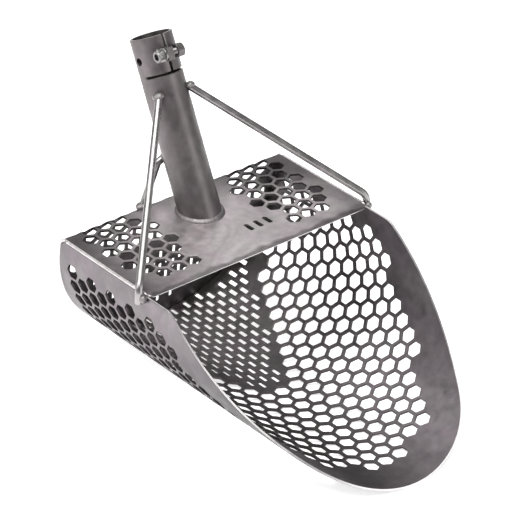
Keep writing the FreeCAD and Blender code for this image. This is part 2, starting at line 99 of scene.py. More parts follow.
# the shell's hexagons: rows count towards the lip, columns by half a pitch from the middle
SHELL_HEX_Y = 21.4         # Y of row 0
SHELL_LAST_COLUMN = 22
VEE_COLUMN = 12            # up to this column the field starts in a vee, round the slots
VEE_TIP_ROW = 10
FRONT_STEPS = ((20, 9), (13, 8), (7, 7), (5, 6), (2, 5), (0, 4))      # column and its last step
SLOT_FIRST_Y = (36.9, 44.2)            # of even and of odd rows
SLOT_COUNTS = (9, 10, 9, 8, 7, 7, 6, 4, 4, 3, 2, 1, 1, 1)             # of each row from the middle
SLOT_FULL_ROWS = 7         # from this row on the odd ones start one slot nearer the lip

PLATE_FRONT = -76.0
ROLL_MIDDLE = 8.0          # middle radius of the rolled front edge
ROLL_TURN = radians(30.0)
BEND_START = 30.5
BEND_OUTSIDE = 7.0
BEND_MIDDLE = BEND_OUTSIDE - SHEET / 2
BACK_LEAN = radians(7.9)
BEND_TURN = pi / 2 - BACK_LEAN
CORNER_RADIUS = 4.5
SEAM = 1.6                 # the plate's edge stays this far inside the shell's outer face
LOWEST = -BASKET_DEPTH - SHEET / 2 + 0.03      # nothing hangs below the belly
PLATE_HEX_Y = 18.3         # Y of row 0 of the plate's hexagons
# row, first and last hexagon on each side, in pitches from the middle
PLATE_ROWS = ((-1, 4.0, 6.0), (0, 3.5, 6.5), (1, 3.0, 6.0), (2, 3.5, 6.5),
              (3, 3.0, 6.0), (4, 3.5, 6.5), (5, 4.0, 6.0), (6, 3.5, 5.5))
BACK_ROWS = ((-2, 3.5), (-3, 0.0), (-4, 0.5))      # row and first hexagon, over the bend and below
BACK_LAST_COLUMN = 6.5
BACK_SLOT_LOW = -98.0
BACK_SLOT_HIGH = -50.0
BACK_SLOT_MARGIN = 12.0    # from a slot's low end to the basket's floor
MARK_CENTRES = (14.0, 23.0, 32.0)      # the three drain slots in front of the socket
MARK_Y = -43.0
MARK_LONG = 10.0
MARK_WIDE = 3.6
MARK_CORNER = 1.0
LONGEST_EDGE = 5.0         # of a sheet's outline
PLATE_GAP = 0.15           # the shell's edge stays this far under the plate's flat top
BACK_GAP = 0.05            # and this far in front of its back

TUBE_RADIUS = 16.85
TUBE_WALL = 2.0
TUBE_MIDDLE = TUBE_RADIUS - TUBE_WALL / 2
TUBE_LENGTH = 142.0
TUBE_LEAN = radians(24.3)
SLIT_WIDE = 2.4
CROSS_SLIT_HEIGHT = 111.6
CROSS_SLIT_WIDE = 2.0
CROSS_SLIT_ANGLE = radians(78.0)
PIN_HOLE_RADIUS = 3.0
PIN_HOLE_HEIGHT = 125.0
FOOT_LIFT = 0.1            # the tube's foot stands this far above the plate

SEAM_DOWN = 0.9            # height of a seam bead's middle below the plate's top
SEAM_PITCH = 1.5           # length of one scale of a weld bead
SIDE_BEAD = (2.4, 1.15)    # a bead's width and its height from the middle
REAR_BEAD = (2.1, 1.0)
BEAD_STEPS = 12            # points round a bead
SIDE_BEAD_STEP = 0.4       # between the sections of a side's bead
REAR_BEAD_COUNT = 900      # sections of the rear bead
BASE_WIDE = 2.0            # the fillet round the socket's foot
BASE_HIGH = 2.7
BASE_SUNK = 0.15           # the base bead goes this far into the plate and the tube
BASE_INSIDE = 0.3          # its hidden side lies this far inside the tube's outer face
BASE_PITCH = 2.4
BASE_COUNT = 420           # sections round the base bead
BASE_STEPS = 7             # points across it

# lumps of weld metal on the rods' ends: their half sizes and, on the right side, their middles
FRONT_ROD_AZIMUTH = radians(54.0)
FRONT_TOP_SIZES = (4.9, 2.9, 4.3)
FRONT_FOOT = np.array([109.6, -71.8, -3.3])
FRONT_FOOT_SIZES = (2.8, 3.2, 2.8)
REAR_TOP = np.array([7.6, 33.4, 36.6])
REAR_TOP_SIZES = (4.4, 3.6, 3.6)
REAR_FOOT = np.array([31.0, 34.0, 0.4])
REAR_FOOT_SIZES = (4.6, 4.4, 3.0)
LUMP_SCALES = 0.03         # parts of a lump's size: its scales, its swell and its fine unevenness
LUMP_SWELL = 0.10
LUMP_UNEVEN = 0.015

SCREW_HEIGHT = 127.0       # along the socket's axis
SCREW_OFFSET = 22.4        # from the socket's axis
SCREW_RADIUS = 2.95
SCREW_LENGTH = 16.0
THREAD_PITCH = 1.0
THREAD_DEEP = 0.42
THREAD_FROM = 3.0          # the plain shank under the head
THREAD_STEPS = 8           # sections in one turn of the thread
HEAD_RADIUS = 5.0
HEAD_LENGTH = 6.0
KNURL_TEETH = 48
KNURL_DEEP = 0.32
KEY_FLATS = 5.0
KEY_DEPTH = 3.0
WASHER_RADIUS = 5.5
WASHER_BORE = 3.25
WASHER_THICK = 1.6
RUN_GAP = 0.05             # play between the washer and its neighbours
LUG_LEFT = -7.0
NUT_LEFT = 3.2
NUT_LENGTH = 6.0
NUT_FLATS = 10.0
NUT_BORE = 3.0
TURN_STEPS = 96            # points round a turned piece
SHARP_FROM = radians(32)   # edges that turn more than this stay sharp
LUG_BEVEL = 0.6
NUT_WELD_BEVEL = 1.2

# ---- the steel's surface: scales are per metre, colours are factors ---------------------------
# painted shade on the walls of the holes
HOLE_SHADE = (0.42, 0.40, 0.40)
# tint of the painted pools of light and shade
PAINTED_POOL_TINT = (1.0, 0.94, 0.945)
PAINTED_POOL_CORE = 0.25          # share of a painted pool's radius that has its full brightness
YELLOW_TINT = (1.0, 1.0, 0.99)
VIOLET_TINT = (1.04, 0.98, 1.03)
SWIRL_SCALE = 15.0
SWIRL_BEND = 2.6
GRAIN_SCALE = 1400.0
STREAK_SCALE = 60.0
STREAK_STRETCH = (1.0, 22.0, 22.0)
BUMP_DEPTH = 0.0004        # metres
SMOOTHER = 0.06            # how far the roughness falls and rises about its value
ROUGHER = 0.08

AXIS = np.array([0.0, sin(TUBE_LEAN), cos(TUBE_LEAN)])
FRONT = np.array([0.0, -cos(TUBE_LEAN), sin(TUBE_LEAN)])     # square to the axis, towards the mouth
ACROSS = np.array([1.0, 0.0, 0.0])
ALONG_Y = np.array([0.0, 1.0, 0.0])
UP = np.array([0.0, 0.0, 1.0])
DOWN_BACK = np.array([0.0, sin(BACK_LEAN), -cos(BACK_LEAN)])


# ---- small helpers ----------------------------------------------------------------------------
def unit(v):
    return v / np.linalg.norm(v)


def rounded(corners, radius, steps):
    """Closed loop of 2D points with each corner turned into an arc."""
    loop = []
    count = len(corners)
    for i in range(count):
        here = np.array(corners[i], float)
        before = unit(np.array(corners[i - 1], float) - here)
        after = unit(np.array(corners[(i + 1) % count], float) - here)
        half = acos(np.clip(before @ after, -1, 1)) / 2
        centre = here + unit(before + after) * radius / sin(half)
        start = here + before * radius / tan(half) - centre
        end = here + after * radius / tan(half) - centre
        for step in range(steps + 1):
            along = step / steps
            loop.append(centre + radius * unit(start * (1 - along) + end * along))
    return np.array(loop)


def refined(loop, longest):
    """The closed loop with points added so that no edge is longer than a length."""
    out = []
    for here, after in zip(loop, np.roll(loop, -1, axis=0)):
        pieces = max(1, int(np.ceil(np.linalg.norm(after - here) / longest)))
        for step in range(pieces):
            out.append(here + (after - here) * step / pieces)
    return np.array(out)


def turning(loop, left):
    """The loop in the order that goes round to the left, or to the right."""
    x, y = loop[:, 0], loop[:, 1]
    area = np.sum(x * np.roll(y, -1) - np.roll(x, -1) * y)
    return loop if (area > 0) == left else loop[::-1]


def moved_left(before, here, after, distance):
    """Points moved to the left of their path, with mitred corners."""
    a = here - before
    b = after - here
    a = a / np.linalg.norm(a, axis=1)[:, None]
    b = b / np.linalg.norm(b, axis=1)[:, None]
    left = np.stack([-a[:, 1] - b[:, 1], a[:, 0] + b[:, 0]], 1)
    return here + distance * left / (1 + np.sum(a * b, axis=1))[:, None]


def shrunk(loop, distance):
    return moved_left(np.roll(loop, 1, axis=0), loop, np.roll(loop, -1, axis=0), distance)


def hexagon(u, v, flats=HEX_FLATS):
    """Hexagon with two flats facing +-u."""
    reach = flats / sqrt(3)
    corners = [(u + reach * cos(radians(30 + 60 * k)), v + reach * sin(radians(30 + 60 * k)))
               for k in range(6)]
    return rounded(corners, HEX_CORNER, 2)


def oblong(u, v, wide, long, corner=SLOT_CORNER, steps=3):
    corners = [(u - wide / 2, v - long / 2), (u + wide / 2, v - long / 2),
               (u + wide / 2, v + long / 2), (u - wide / 2, v + long / 2)]
    return rounded(corners, corner, steps)


# ---- making pieces ----------------------------------------------------------------------------
def add_piece(name, points, faces, material, nodes, body="scoop", normals=None, edge=None):
    """A mesh from millimetre points that rides on a body and stands for CAD nodes."""
    mesh = bpy.data.meshes.new(name)
    mesh.from_pydata((np.asarray(points, float) * MM).tolist(), [], [list(map(int, f)) for f in faces])
    mesh.materials.append(material)
    mesh.polygons.foreach_set("use_smooth", [True] * len(mesh.polygons))
    if edge is not None:
        layer = mesh.attributes.new("edge", "FLOAT", "POINT")
        layer.data.foreach_set("value", np.asarray(edge, np.float32))
    mesh.update()
    if normals is not None:
        mesh.normals_split_custom_set_from_vertices(np.asarray(normals, float).tolist())
    piece = bpy.data.objects.new(name, mesh)
    bpy.context.scene.collection.objects.link(piece)
    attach(piece, body)
    if nodes:
        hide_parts(*nodes)
    return piece


def inside_triangles(points, directed):
    """Triangles of the flat points that lie left of the directed edges."""
    edges = sorted({(min(a, b), max(a, b)) for a, b in directed})
    result = delaunay_2d_cdt([Vector(p) for p in points.tolist()], edges, [], 0, 1e-7, True)
    flat = np.array([[p.x, p.y] for p in result[0]])
    new_index = {}
    for new, olds in enumerate(result[3]):
        for old in olds:
            new_index[old] = new
    walls = {(new_index[a], new_index[b]) for a, b in directed}
    blocked = walls | {(b, a) for a, b in walls}
    owner = {}
    triangles = [tuple(face) for face in result[2]]
    for index, (a, b, c) in enumerate(triangles):
        owner[(a, b)] = owner[(b, c)] = owner[(c, a)] = index
    queue = [owner[wall] for wall in walls if wall in owner]
    kept = set(queue)
    while queue:
        a, b, c = triangles[queue.pop()]
        for here, there in ((a, b), (b, c), (c, a)):
            if (here, there) in blocked:
                continue
            other = owner.get((there, here))
            if other is not None and other not in kept:
                kept.add(other)
                queue.append(other)
    faces = np.array([triangles[i] for i in sorted(kept)])
    used, faces = np.unique(faces, return_inverse=True)
    return flat[used], faces.reshape(-1, 3)


def cut_sheet(name, outline, holes, place, cell, material, nodes, period=None):
    """A bent sheet with thickness and rounded cut edges, from its flat pattern.

    place(u, v, offset) gives points, outward normals and the two tangents. Where the sheet closes
    on itself, period is its length in u and the pattern runs from -period/2 to +period/2.
    """
    loops = [shrunk(turning(outline, True), EDGE)]
    if period:
        at_seam = np.abs(turning(outline, True)[:, 0]) > period / 2 - 1e-6
        loops[0][at_seam, 0] = np.sign(loops[0][at_seam, 0]) * period / 2
    outline_count = len(loops[0])
    loops += [shrunk(turning(hole, False), EDGE) for hole in holes]
    points = np.concatenate(loops)
    directed = []
    first = 0
    for loop in loops:
        count = len(loop)
        directed += [(first + i, first + (i + 1) % count) for i in range(count)]
        first += count
    near = kdtree.KDTree(len(points))
    for index, (u, v) in enumerate(points):
        near.insert((u, v, 0), index)
    near.balance()
    low, high = points.min(0), points.max(0)
    fill = []
    for column, u in enumerate(np.arange(low[0] + cell[0] / 2, high[0], cell[0])):
        for v in np.arange(low[1] + cell[1] * (0.5 if column % 2 else 1.0), high[1], cell[1]):
            if near.find((u, v, 0))[2] > 0.55 * min(cell):
                fill.append((u, v))
    flat, faces = inside_triangles(np.concatenate([points, np.array(fill)]), directed)
    if period:
        keys = {}
        merged = np.arange(len(flat))
        for index, (u, v) in enumerate(flat):
            if abs(abs(u) - period / 2) < 1e-4:
                merged[index] = keys.setdefault(round(float(v), 3), index)
        faces = merged[faces]
        used, faces = np.unique(faces, return_inverse=True)
        flat, faces = flat[used], faces.reshape(-1, 3)
    # edge values: painted shade on the holes' walls, a rubbed edge with a painted highlight on the outline
    edge_rub_and_shade = np.array([1.0 if near.find((u, v, 0))[1] < outline_count else HOLE_RIM for u, v in flat])
    return solid_sheet(name, flat, faces, place, material, nodes, period, edge_rub_and_shade)


def solid_sheet(name, flat, faces, place, material, nodes, period, edge_rub_and_shade):
    """Both faces of the sheet and the rounded wall round every cut edge."""
    def wrapped(step):
        if period:
            step[:, 0] -= period * np.round(step[:, 0] / period)
        return step

    sides = {(a, b) for f in faces for a, b in ((f[0], f[1]), (f[1], f[2]), (f[2], f[0]))}
    rim = [(a, b) for a, b in sides if (b, a) not in sides]
    after = dict(rim)
    before = {b: a for a, b in rim}
    border = np.array(sorted(after))
    here = flat[border]
    ahead = here + wrapped(flat[[after[i] for i in border]] - here)
    behind = here + wrapped(flat[[before[i] for i in border]] - here)
    true_edge = moved_left(behind, here, ahead, -EDGE)
    outwards = true_edge - here
    outwards /= np.linalg.norm(outwards, axis=1)[:, None]
    total, rims = len(flat), len(border)
    half = SHEET / 2
    points, normals = [], []
    for offset, sign in ((half, 1), (-half, -1)):
        p, n, _, _ = place(flat[:, 0], flat[:, 1], offset)
        points.append(p)
        normals.append(sign * n)
    for offset in (half - EDGE, -half + EDGE):
        p, _, tangent_u, tangent_v = place(true_edge[:, 0], true_edge[:, 1], offset)
        points.append(p)
        normals.append(tangent_u * outwards[:, :1] + tangent_v * outwards[:, 1:])
    slot_of = {int(i): k for k, i in enumerate(border)}
    polygons = [tuple(f) for f in faces] + [(f[2] + total, f[1] + total, f[0] + total) for f in faces]
    upper, lower = 2 * total, 2 * total + rims
    for a, b in sorted(rim):
        ka, kb = slot_of[int(a)], slot_of[int(b)]
        polygons.append((b, a, upper + ka, upper + kb))
        polygons.append((upper + kb, upper + ka, lower + ka, lower + kb))
        polygons.append((lower + kb, lower + ka, a + total, b + total))
    _, n, tangent_u, tangent_v = place(flat[:1, 0], flat[:1, 1], 0.0)
    if np.dot(np.cross(tangent_u[0], tangent_v[0]), n[0]) < 0:
        polygons = [f[::-1] for f in polygons]
    edge = np.concatenate([np.zeros(2 * total), edge_rub_and_shade[border], edge_rub_and_shade[border]])
    return add_piece(name, np.concatenate(points), polygons, material, nodes,
                     normals=np.concatenate(normals), edge=edge)


def turned_mesh(rings, closed_ends=True):
    """Points and faces of rings of equal length, one after another, with a face at both ends."""
    count = len(rings[0])
    points = np.concatenate(rings)
    faces = []
    for j in range(len(rings) - 1):
        for i in range(count):
            k = (i + 1) % count
            faces.append((j * count + i, j * count + k, (j + 1) * count + k, (j + 1) * count + i))
    if closed_ends:
        faces.append(tuple(reversed(range(count))))
        last = (len(rings) - 1) * count
        faces.append(tuple(range(last, last + count)))
    return points, faces


def looped_mesh(rings):
    """Points and faces of rings of equal length, with the last ring joined to the first."""
    points, faces = turned_mesh(rings + [rings[0]], closed_ends=False)
    last = len(rings) * len(rings[0])
    return points[:last], [tuple(i - last if i >= last else i for i in f) for f in faces]


# ---- where the sheets run ---------------------------------------------------------------------
def trough(u, v, offset):
    """The basket's sheet: u is the length round its section from the belly, v is Y."""
    u, v = np.asarray(u, float), np.asarray(v, float)
    side = np.where(u < 0, -1.0, 1.0)
    length = np.abs(u)
    belly = length <= BELLY_LENGTH
    slope = np.where(belly, length / BELLY_RADIUS, BELLY_TURN + (length - BELLY_LENGTH) / SIDE_RADIUS)
    radius = np.where(belly, BELLY_RADIUS, SIDE_RADIUS) + offset
    sine, cosine = np.sin(slope), np.cos(slope)
    zero = np.zeros_like(u)
    x = side * (np.where(belly, 0.0, SIDE_X) + radius * sine)
    z = np.where(belly, BELLY_Z, SIDE_Z) - radius * cosine
    return (np.stack([x, v, z], 1), np.stack([side * sine, zero, -cosine], 1),
            np.stack([cosine, zero, side * sine], 1), np.stack([zero, zero + 1, zero], 1))


ROLL_CENTRE = np.array([PLATE_FRONT + (ROLL_MIDDLE + SHEET / 2) * sin(ROLL_TURN), -ROLL_MIDDLE - SHEET / 2])
BEND_CENTRE = np.array([BEND_START, -BEND_OUTSIDE])
FLAT_FROM = ROLL_MIDDLE * ROLL_TURN
BEND_FROM = FLAT_FROM + BEND_START - ROLL_CENTRE[0]
BACK_FROM = BEND_FROM + BEND_MIDDLE * BEND_TURN


def plate(u, v, offset):
    """The top and back: u is X, v is the length along the bent sheet from its front edge."""
    u, v = np.asarray(u, float), np.asarray(v, float)
    turn = np.where(v < FLAT_FROM, (v - FLAT_FROM) / ROLL_MIDDLE,
                    np.clip((v - BEND_FROM) / BEND_MIDDLE, 0, BEND_TURN))
    rolled = v < FLAT_FROM
    centre_y = np.where(rolled, ROLL_CENTRE[0], BEND_CENTRE[0])
    centre_z = np.where(rolled, ROLL_CENTRE[1], BEND_CENTRE[1])
    radius = np.where(rolled, ROLL_MIDDLE, BEND_MIDDLE) + offset
    ahead = np.where(v < BEND_FROM, np.minimum(v, BEND_FROM) - BEND_FROM, 0.0)
    ahead = np.where(rolled, 0.0, ahead)
    down = np.maximum(v - BACK_FROM, 0.0)
    sine, cosine = np.sin(turn), np.cos(turn)
    zero = np.zeros_like(u)
    y = centre_y + radius * sine + ahead + down * DOWN_BACK[1]
    z = centre_z + radius * cosine + down * DOWN_BACK[2]
    return (np.stack([u, y, z], 1), np.stack([zero, sine, cosine], 1),
            np.stack([zero + 1, zero, zero], 1), np.stack([zero, cosine, -sine], 1))


def socket(u, v, offset):
    """The handle socket: u is the length round the middle of its wall from the front, v the height."""
    angle = np.asarray(u, float) / TUBE_MIDDLE
    out = np.outer(np.cos(angle), FRONT) + np.outer(np.sin(angle), ACROSS)
    tangent = np.outer(-np.sin(angle), FRONT) + np.outer(np.cos(angle), ACROSS)
    height = np.outer(np.asarray(v, float), AXIS)
    return height + out * (TUBE_MIDDLE + offset), out, tangent, np.outer(np.ones(len(angle)), AXIS)


# ---- outlines ---------------------------------------------------------------------------------
def section_side(offset, z):
    """Half width of the trough's section, moved outwards by offset, at a height on its flanks."""
    return SIDE_X + sqrt((SIDE_RADIUS + offset) ** 2 - (z - SIDE_Z) ** 2)


def back_inside_y(z):
    """The inner face of the back and its bend, as Y at a height."""
    inner = BEND_OUTSIDE - SHEET
    bend_end = -BEND_OUTSIDE + inner * cos(BEND_TURN)
    if z > bend_end:
        return BEND_START + sqrt(max(inner ** 2 - (z + BEND_OUTSIDE) ** 2, 0.0))
    return BEND_START + inner * sin(BEND_TURN) + (bend_end - z) * tan(BACK_LEAN)


def shell_outline():
    """The flat shell: the round lip, its shoulders and straight sides, and the edge along the back."""
    lip_steps, shoulder_steps, back_points = 24, 8, 81
    top_z = -SHEET - PLATE_GAP
    top = BELLY_LENGTH + SIDE_RADIUS * (acos((SIDE_Z - top_z) / SIDE_RADIUS) - BELLY_TURN)
    tilt = atan(LIP_SLOPE)
    centre_y = LIP_TIP + LIP_ROUND
    shoulder = LIP_SHOULDER * tan((pi / 2 - tilt) / 2)
    corner_y = centre_y - LIP_ROUND * cos(tilt) + LIP_SLOPE * (top - LIP_ROUND * sin(tilt))
    lip = []
    for k in range(lip_steps + 1):
        angle = tilt * k / lip_steps
        lip.append((LIP_ROUND * sin(angle), centre_y - LIP_ROUND * cos(angle)))
    for k in range(shoulder_steps + 1):
        angle = tilt + (pi / 2 - tilt) * k / shoulder_steps
        lip.append((top - LIP_SHOULDER * (1 - sin(angle)), corner_y + shoulder - LIP_SHOULDER * cos(angle)))
    back = []
    for u in np.linspace(top, -top, back_points):
        z = trough([u], [0.0], 0.0)[0][0][2]
        back.append((u, back_inside_y(z) - BACK_GAP))
    mirrored_lip = [(-u, v) for u, v in lip[:0:-1]]
    return refined(np.array(lip + back + mirrored_lip), LONGEST_EDGE)


def back_down(z):
    """Length along the bent sheet's middle at a height of the bend or the back."""
    bend_end = -BEND_OUTSIDE + BEND_MIDDLE * cos(BEND_TURN)
    if z > bend_end:
        return BEND_FROM + BEND_MIDDLE * acos(min(1.0, (z + BEND_OUTSIDE) / BEND_MIDDLE))
    return BACK_FROM + (bend_end - z) / cos(BACK_LEAN)


def plate_outline():
    """The flat plate: its front edge with two rounded corners, and the trough's section behind."""
    corner_steps, side_points = 12, 70
    offset = SHEET / 2 - SEAM
    flat_half = section_side(offset, -SHEET / 2)
    far = -PLATE_FRONT                 # any length that is well behind the front corners
    square = [(-flat_half, 0), (flat_half, 0), (flat_half, far), (-flat_half, far)]
    front = rounded(square, CORNER_RADIUS, corner_steps)[:2 * (corner_steps + 1)]
    side_top = BELLY_LENGTH + SIDE_RADIUS * (acos((SIDE_Z + SHEET / 2) / SIDE_RADIUS) - BELLY_TURN)
    right = []
    for u in np.linspace(side_top, 0, side_points):
        point = trough([u], [0.0], offset)[0][0]
        right.append((point[0], back_down(min(point[2], -SHEET / 2))))
    left = [(-x, v) for x, v in right[-2::-1]]
    return refined(np.concatenate([front, np.array(right + left)]), LONGEST_EDGE)


def socket_outline():
    """The unrolled tube: the slanted foot, the rim, and the T of the lengthwise and the cross slit."""
    half_turn = pi * TUBE_MIDDLE
    foot = [(a * TUBE_MIDDLE, -TUBE_MIDDLE * tan(TUBE_LEAN) * cos(a) + FOOT_LIFT)
            for a in np.linspace(-pi, pi, 73)]
    seam = [(half_turn, v) for v in np.linspace(foot[-1][1], TUBE_LENGTH, 25)[1:]]
    half_cross = CROSS_SLIT_WIDE / 2
    low = CROSS_SLIT_HEIGHT - half_cross
    high = CROSS_SLIT_HEIGHT + half_cross
    reach = CROSS_SLIT_ANGLE * TUBE_MIDDLE
    half_slit = SLIT_WIDE / 2
    half_round = np.linspace(0, pi, 9)[1:-1]
    cut = [(half_slit, TUBE_LENGTH), (half_slit, high)]
    cut += [(u, high) for u in np.linspace(half_slit, reach, 16)[1:]]
    cut += [(reach + half_cross * sin(a), CROSS_SLIT_HEIGHT + half_cross * cos(a)) for a in half_round]
    cut += [(u, low) for u in np.linspace(reach, -reach, 31)]
    cut += [(-reach - half_cross * sin(a), CROSS_SLIT_HEIGHT - half_cross * cos(a)) for a in half_round]
    cut += [(u, high) for u in np.linspace(-reach, -half_slit, 16)]
    cut += [(-half_slit, TUBE_LENGTH)]
    rim_right = [(u, TUBE_LENGTH) for u in np.linspace(half_turn, half_slit, 36)[1:-1]]
    rim_left = [(u, TUBE_LENGTH) for u in np.linspace(-half_slit, -half_turn, 36)[1:]]
    seam_left = [(-u, v) for u, v in seam[-2::-1]]
    return np.array(foot + seam + rim_right + cut + rim_left + seam_left)


# ---- holes ------------------------------------------------------------------------------------
def last_hex_row(column):
    """The row nearest the lip in a column: the field's front edge goes in steps."""
    step = [limit for first, limit in FRONT_STEPS if column >= first][0]
    return 2 * step + VEE_COLUMN - column


def first_hex_row(column):
    """The row nearest the back in a column: the slots' field ends in a vee."""
    if column == 0:
        return VEE_TIP_ROW
    if column < VEE_COLUMN:
        return VEE_COLUMN - column
    return column % 2


def shell_holes():
    holes = []
    for column in range(-SHELL_LAST_COLUMN, SHELL_LAST_COLUMN + 1):
        for row in range(first_hex_row(abs(column)), last_hex_row(abs(column)) + 1, 2):
            holes.append(hexagon(column * PITCH / 2, SHELL_HEX_Y - row * ROW))
    rows = len(SLOT_COUNTS) - 1
    for row in range(-rows, rows + 1):
        start = SLOT_FIRST_Y[abs(row) % 2]
        if abs(row) % 2 == 1 and abs(row) >= SLOT_FULL_ROWS:
            start -= SLOT_STEP
        for step in range(SLOT_COUNTS[abs(row)]):
            holes.append(oblong(row * SLOT_ROW, start - step * SLOT_STEP, SLOT_WIDE, SLOT_LONG))
    return holes


def basket_floor(x):
    """Height of the basket's sheet at X."""
    if abs(x) <= BELLY_RADIUS * sin(BELLY_TURN):
        return BELLY_Z - sqrt(BELLY_RADIUS ** 2 - x ** 2)
    return SIDE_Z - sqrt(SIDE_RADIUS ** 2 - (abs(x) - SIDE_X) ** 2)


def plate_holes():
    flat_zero = BEND_FROM - BEND_START
    holes = []
    for row, first, last in PLATE_ROWS:
        for step in range(int(last - first) + 1):
            for side in (-1, 1):
                holes.append(hexagon(side * (first + step) * PITCH, flat_zero + PLATE_HEX_Y - row * ROW))
    for row, first in BACK_ROWS:
        for column in np.arange(first, BACK_LAST_COLUMN + 0.1, 1.0):
            for side in (-1, 1) if column > 0 else (1,):
                holes.append(hexagon(side * column * PITCH, flat_zero + PLATE_HEX_Y - row * ROW))
    rows = len(SLOT_COUNTS) - 1
    for row in range(-rows, rows + 1):
        x = row * SLOT_ROW
        floor = max(basket_floor(x - SLOT_ROW), basket_floor(x + SLOT_ROW))
        for z in np.arange(BACK_SLOT_LOW + (0 if row % 2 else SLOT_STEP / 2), BACK_SLOT_HIGH, SLOT_STEP):
            if z - SLOT_LONG / 2 > floor + BACK_SLOT_MARGIN:
                holes.append(oblong(x, back_down(z), SLOT_WIDE, SLOT_LONG))
    for x in MARK_CENTRES:
        holes.append(oblong(x, flat_zero + MARK_Y, MARK_WIDE, MARK_LONG, MARK_CORNER))
    bore = TUBE_RADIUS - TUBE_WALL
    turns = np.linspace(0, 2 * pi, 72, endpoint=False)
    holes.append(np.stack([bore * np.cos(turns), flat_zero - SHEET / 2 * tan(TUBE_LEAN)
                           + bore / cos(TUBE_LEAN) * np.sin(turns)], 1))
    return holes


def socket_holes():
    holes = []
    for side in (-1, 1):
        loop = []
        for k in range(24):
            angle = 2 * pi * k / 24
            around = side * pi / 2 + np.arcsin(PIN_HOLE_RADIUS * cos(angle) / TUBE_MIDDLE)
            loop.append((around * TUBE_MIDDLE, PIN_HOLE_HEIGHT + PIN_HOLE_RADIUS * sin(angle)))
        holes.append(np.array(loop))
    return holes


# ---- nodes that the materials share -----------------------------------------------------------
def noise_over(tree, where, scale, detail, distortion=0.0, stretch=None):
    """Noise over the object's own place, drawn out where stretch says so."""
    if stretch:
        mapping = tree.nodes.new("ShaderNodeMapping")
        mapping.inputs["Scale"].default_value = stretch
        tree.links.new(where, mapping.inputs["Vector"])
        where = mapping.outputs["Vector"]
    texture = tree.nodes.new("ShaderNodeTexNoise")
    texture.inputs["Scale"].default_value = scale
    texture.inputs["Detail"].default_value = detail
    texture.inputs["Distortion"].default_value = distortion
    tree.links.new(where, texture.inputs["Vector"])
    return texture.outputs["Fac"]


def ramp(tree, source, stops):
    """Colours along a value, from stops of position and colour. A single number stands for a grey."""
    stops = [(position, colour if isinstance(colour, tuple) else (colour,) * 3) for position, colour in stops]
    node = tree.nodes.new("ShaderNodeValToRGB")
    elements = node.color_ramp.elements
    elements[0].position, elements[1].position = stops[0][0], stops[-1][0]
    elements[0].color, elements[1].color = (*stops[0][1], 1), (*stops[-1][1], 1)
    for position, colour in stops[1:-1]:
        elements.new(position).color = (*colour, 1)
    tree.links.new(source, node.inputs["Fac"])
    return node.outputs["Color"]


def mix(tree, kind, factor, a, b):
    """Colour a mixed with colour b. Each may be an output of a node, and factor too."""
    node = tree.nodes.new("ShaderNodeMix")
    node.data_type = "RGBA"
    node.blend_type = kind
    for socket_name, value in (("Factor", factor), ("A", a), ("B", b)):
        target = [s for s in node.inputs if s.name == socket_name and s.enabled][0]
        if isinstance(value, (int, float)):
            target.default_value = value
        elif isinstance(value, tuple):
            target.default_value = (*value, 1)
        else:
            tree.links.new(value, target)
    return [s for s in node.outputs if s.enabled][0]


def share(tree, source, low, high, kind="LINEAR"):
    """0 where the source is low, 1 where it is high."""
    node = tree.nodes.new("ShaderNodeMapRange")
    node.interpolation_type = kind
    node.inputs["From Min"].default_value = low
    node.inputs["From Max"].default_value = high
    tree.links.new(source, node.inputs["Value"])
    return node.outputs["Result"]


def pooled_light_and_shade(tree, where, base, light_and_shade_pools):
    """Painted pools of light and shade, brighter or darker round a centre: centre and radius in metres,
    brightness.
    """
    for centre, radius, brightness in light_and_shade_pools:
        away = tree.nodes.new("ShaderNodeVectorMath")
        away.operation = "DISTANCE"
        away.inputs[1].default_value = centre
        tree.links.new(where, away.inputs[0])
        near = share(tree, away.outputs["Value"], radius, radius * PAINTED_POOL_CORE, "SMOOTHSTEP")
        base = mix(tree, "MIX", near, base, tuple(brightness * c for c in PAINTED_POOL_TINT))
    return base


def shade_by_height(tree, where, base, lowest, highest, stops):
    """Painted shade by height: the colour darker or brighter by height, from the lowest Z to the highest."""
    parts = tree.nodes.new("ShaderNodeSeparateXYZ")
    tree.links.new(where, parts.inputs["Vector"])
    level = share(tree, parts.outputs["Z"], lowest, highest)
    return mix(tree, "MULTIPLY", 1.0, base, ramp(tree, level, stops))


def edged(tree, base, rub_and_highlight):
    """Painted shade on the walls of the holes, and a bright outer edge that is partly rubbed and partly a
    painted highlight, by the mesh's own edge values.
    """
    edge = tree.nodes.new("ShaderNodeAttribute")
    edge.attribute_name = "edge"
    wall = ramp(tree, edge.outputs["Fac"], [(0.0, 1.0), (HOLE_RIM, HOLE_SHADE), (1.0, 1.0)])
    base = mix(tree, "MULTIPLY", 1.0, base, wall)
    return mix(tree, "MIX", share(tree, edge.outputs["Fac"], HOLE_RIM, 1.0), base, rub_and_highlight)


def surface_normal(tree, where, grain, streak):
    """The bump of fine blasted grain, with brush marks along X where streak isn't 0."""
    height = noise_over(tree, where, GRAIN_SCALE, 3.0)
    if streak:
        blend = tree.nodes.new("ShaderNodeMath")
        blend.operation = "MULTIPLY_ADD"
        blend.inputs[1].default_value = streak
        tree.links.new(noise_over(tree, where, STREAK_SCALE, 6.0, 0.0, STREAK_STRETCH), blend.inputs[0])
        tree.links.new(height, blend.inputs[2])
        height = blend.outputs["Value"]
    bump = tree.nodes.new("ShaderNodeBump")
    bump.inputs["Strength"].default_value = grain
    bump.inputs["Distance"].default_value = BUMP_DEPTH
    tree.links.new(height, bump.inputs["Height"])
    return bump.outputs["Normal"]


